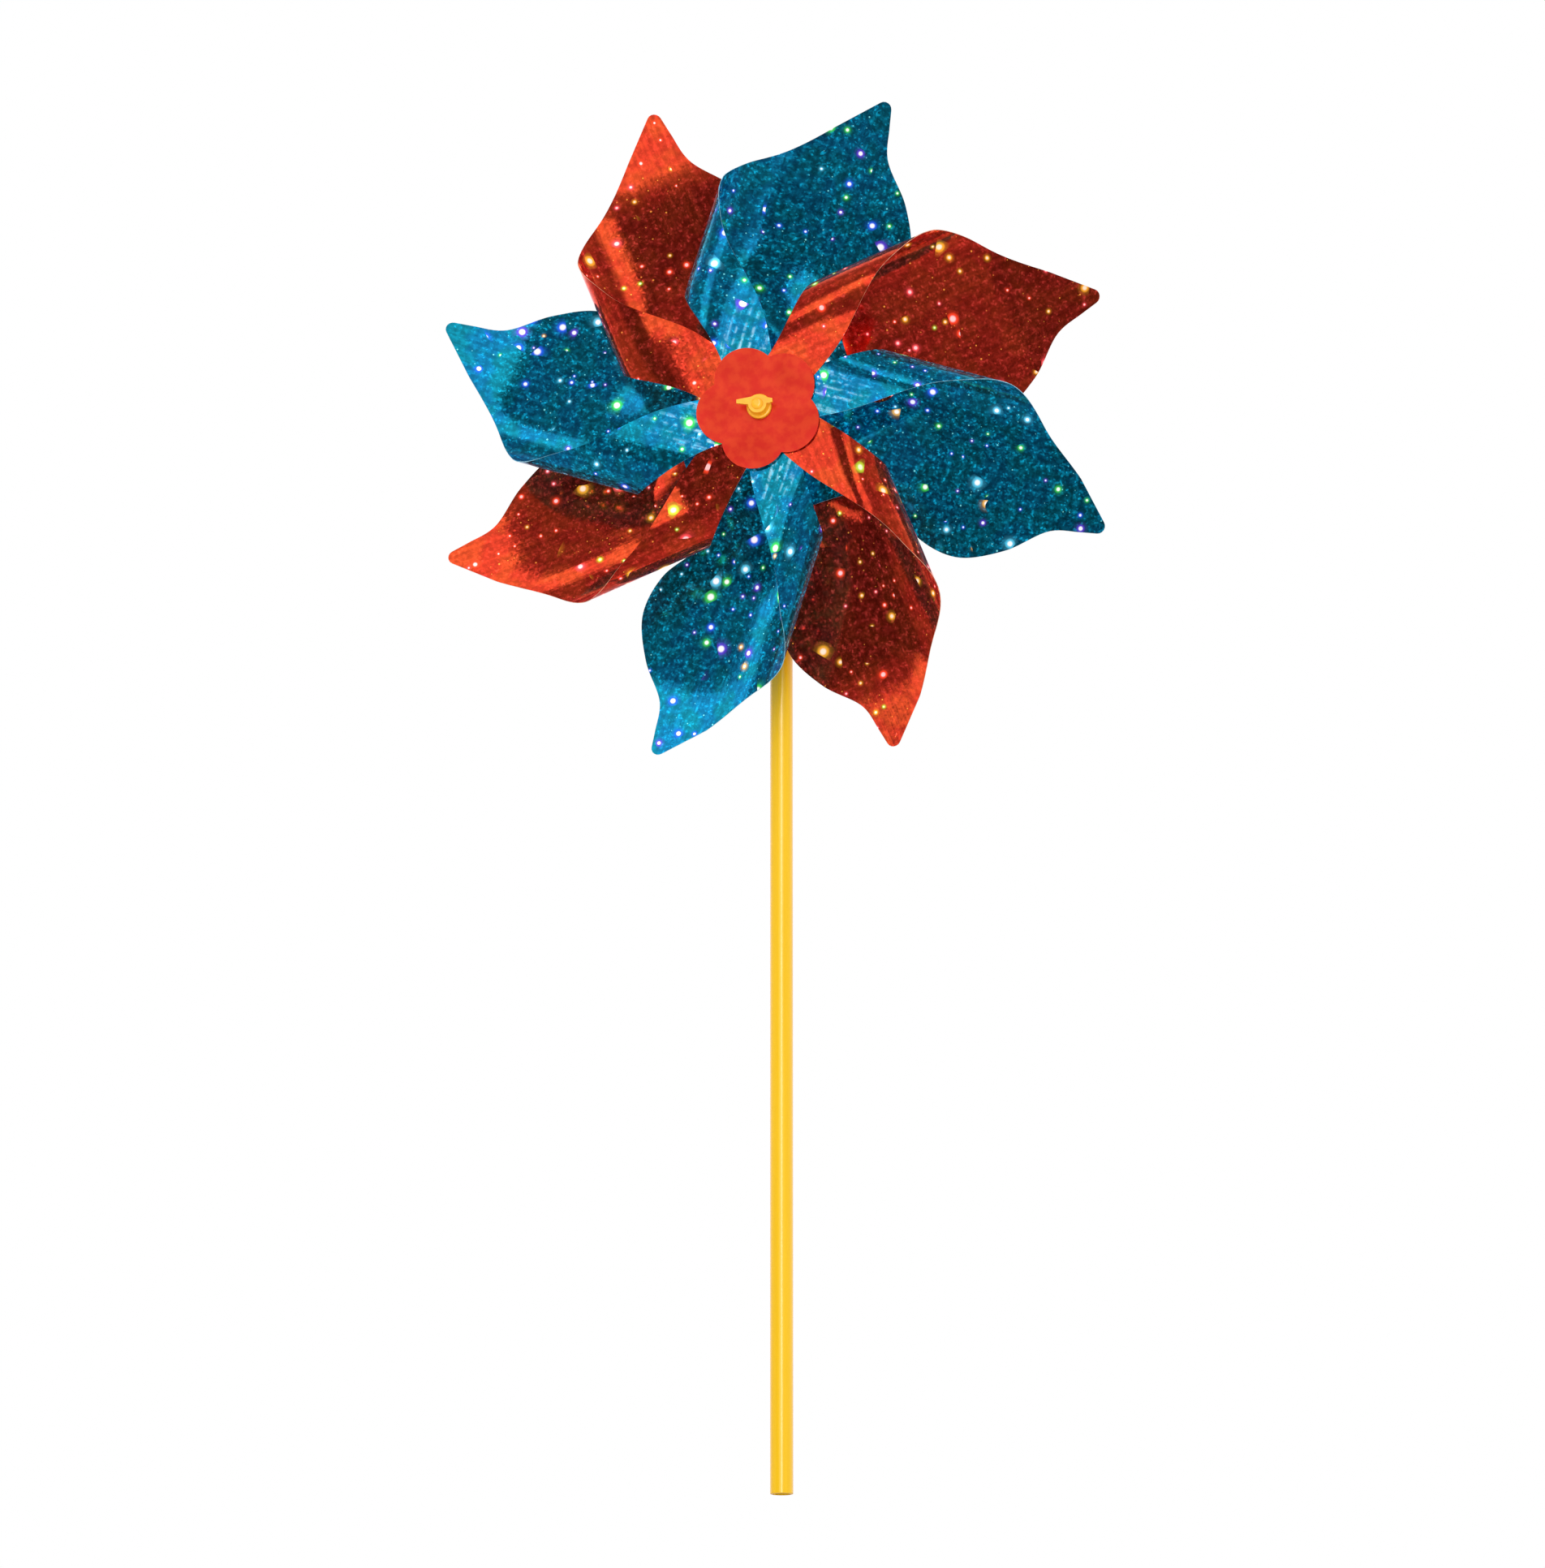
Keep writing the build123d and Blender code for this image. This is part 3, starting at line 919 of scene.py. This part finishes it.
def make_floor():
    """A plain pale floor, well below the camera."""
    mesh = bpy.data.meshes.new("floor")
    turns = ((-1, -1), (1, -1), (1, 1), (-1, 1))
    corners = [(FLOOR_HALF * x, FLOOR_HALF * y, FLOOR_HEIGHT) for x, y in turns]
    mesh.from_pydata(corners, [], [(0, 1, 2, 3)])
    floor = bpy.data.objects.new("floor", mesh)
    bpy.context.scene.collection.objects.link(floor)
    material, _, shader = new_material("floor")
    shader["Base Color"].default_value = rgba(0.85, 0.85, 0.85)
    shader["Roughness"].default_value = 0.8
    give(floor, material)
    floor.visible_glossy = False


def highlight_lamp(target, receivers):
    """A tall narrow soft lamp that draws the highlight down the stick, for the glossy plastic only."""
    light = bpy.data.lights.new("highlight", "AREA")
    light.shape = "RECTANGLE"
    light.size, light.size_y = LAMP_WIDTH, LAMP_HEIGHT
    light.energy = LAMP_POWER
    lamp = bpy.data.objects.new("highlight", light)
    place_facing(lamp, target, towards(CAMERA_AZIMUTH, -CAMERA_ELEVATION) * LAMP_DISTANCE)
    lit = bpy.data.collections.new("lit_by_highlight")
    for piece in receivers:
        lit.objects.link(piece)
    lamp.light_linking.receiver_collection = lit


# ---------------------------------------------------------------- the pinwheel
make_camera()
make_world()
make_floor()
bpy.context.scene.view_settings.view_transform = "Standard"

orange_film = film_material("orange_film", ORANGE_LOOK)
blue_film = film_material("blue_film", BLUE_LOOK)

orange_blades = film_star("orange_blades", ORANGE_ANGLE, ORANGE_REAR, ORANGE_FRONT, ORANGE_SHAPES)
give(orange_blades, orange_film, edge_material("orange_edge", (0.95, 0.42, 0.25)))
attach(orange_blades, "wheel")
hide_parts("orange_blade_sheet")

blue_blades = film_star("blue_blades", BLUE_ANGLE, BLUE_REAR, BLUE_FRONT, BLUE_SHAPES)
give(blue_blades, blue_film, edge_material("blue_edge", (0.30, 0.68, 0.85)))
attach(blue_blades, "wheel")
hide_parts("blue_blade_sheet")

petals = flower("flower")
give(petals, flower_material())
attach(petals, "wheel")
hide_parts("flower_washer")

yellow = plastic_material("stick_plastic", (0.78, 0.47, 0.006), (0.73, 0.43, 0.005), 0.20, STICK_GRAIN)
moulded = plastic_material("pin_plastic", (0.90, 0.44, 0.016), (0.80, 0.35, 0.010), 0.20, PIN_GRAIN)
clear = plastic_material("spacer_plastic", (0.85, 0.86, 0.84), (0.75, 0.77, 0.75), 0.25, SPACER_GRAIN)
give(nodes["stick"], yellow)
give(nodes["axle_pin"], moulded)
give(nodes["axle_cap"], moulded)
give(nodes["back_spacer"], clear)
give(nodes["hub_spacer"], clear)
highlight_lamp(Vector((0.0, 0.0, 0.1)), [nodes["stick"], nodes["axle_pin"], nodes["axle_cap"]])
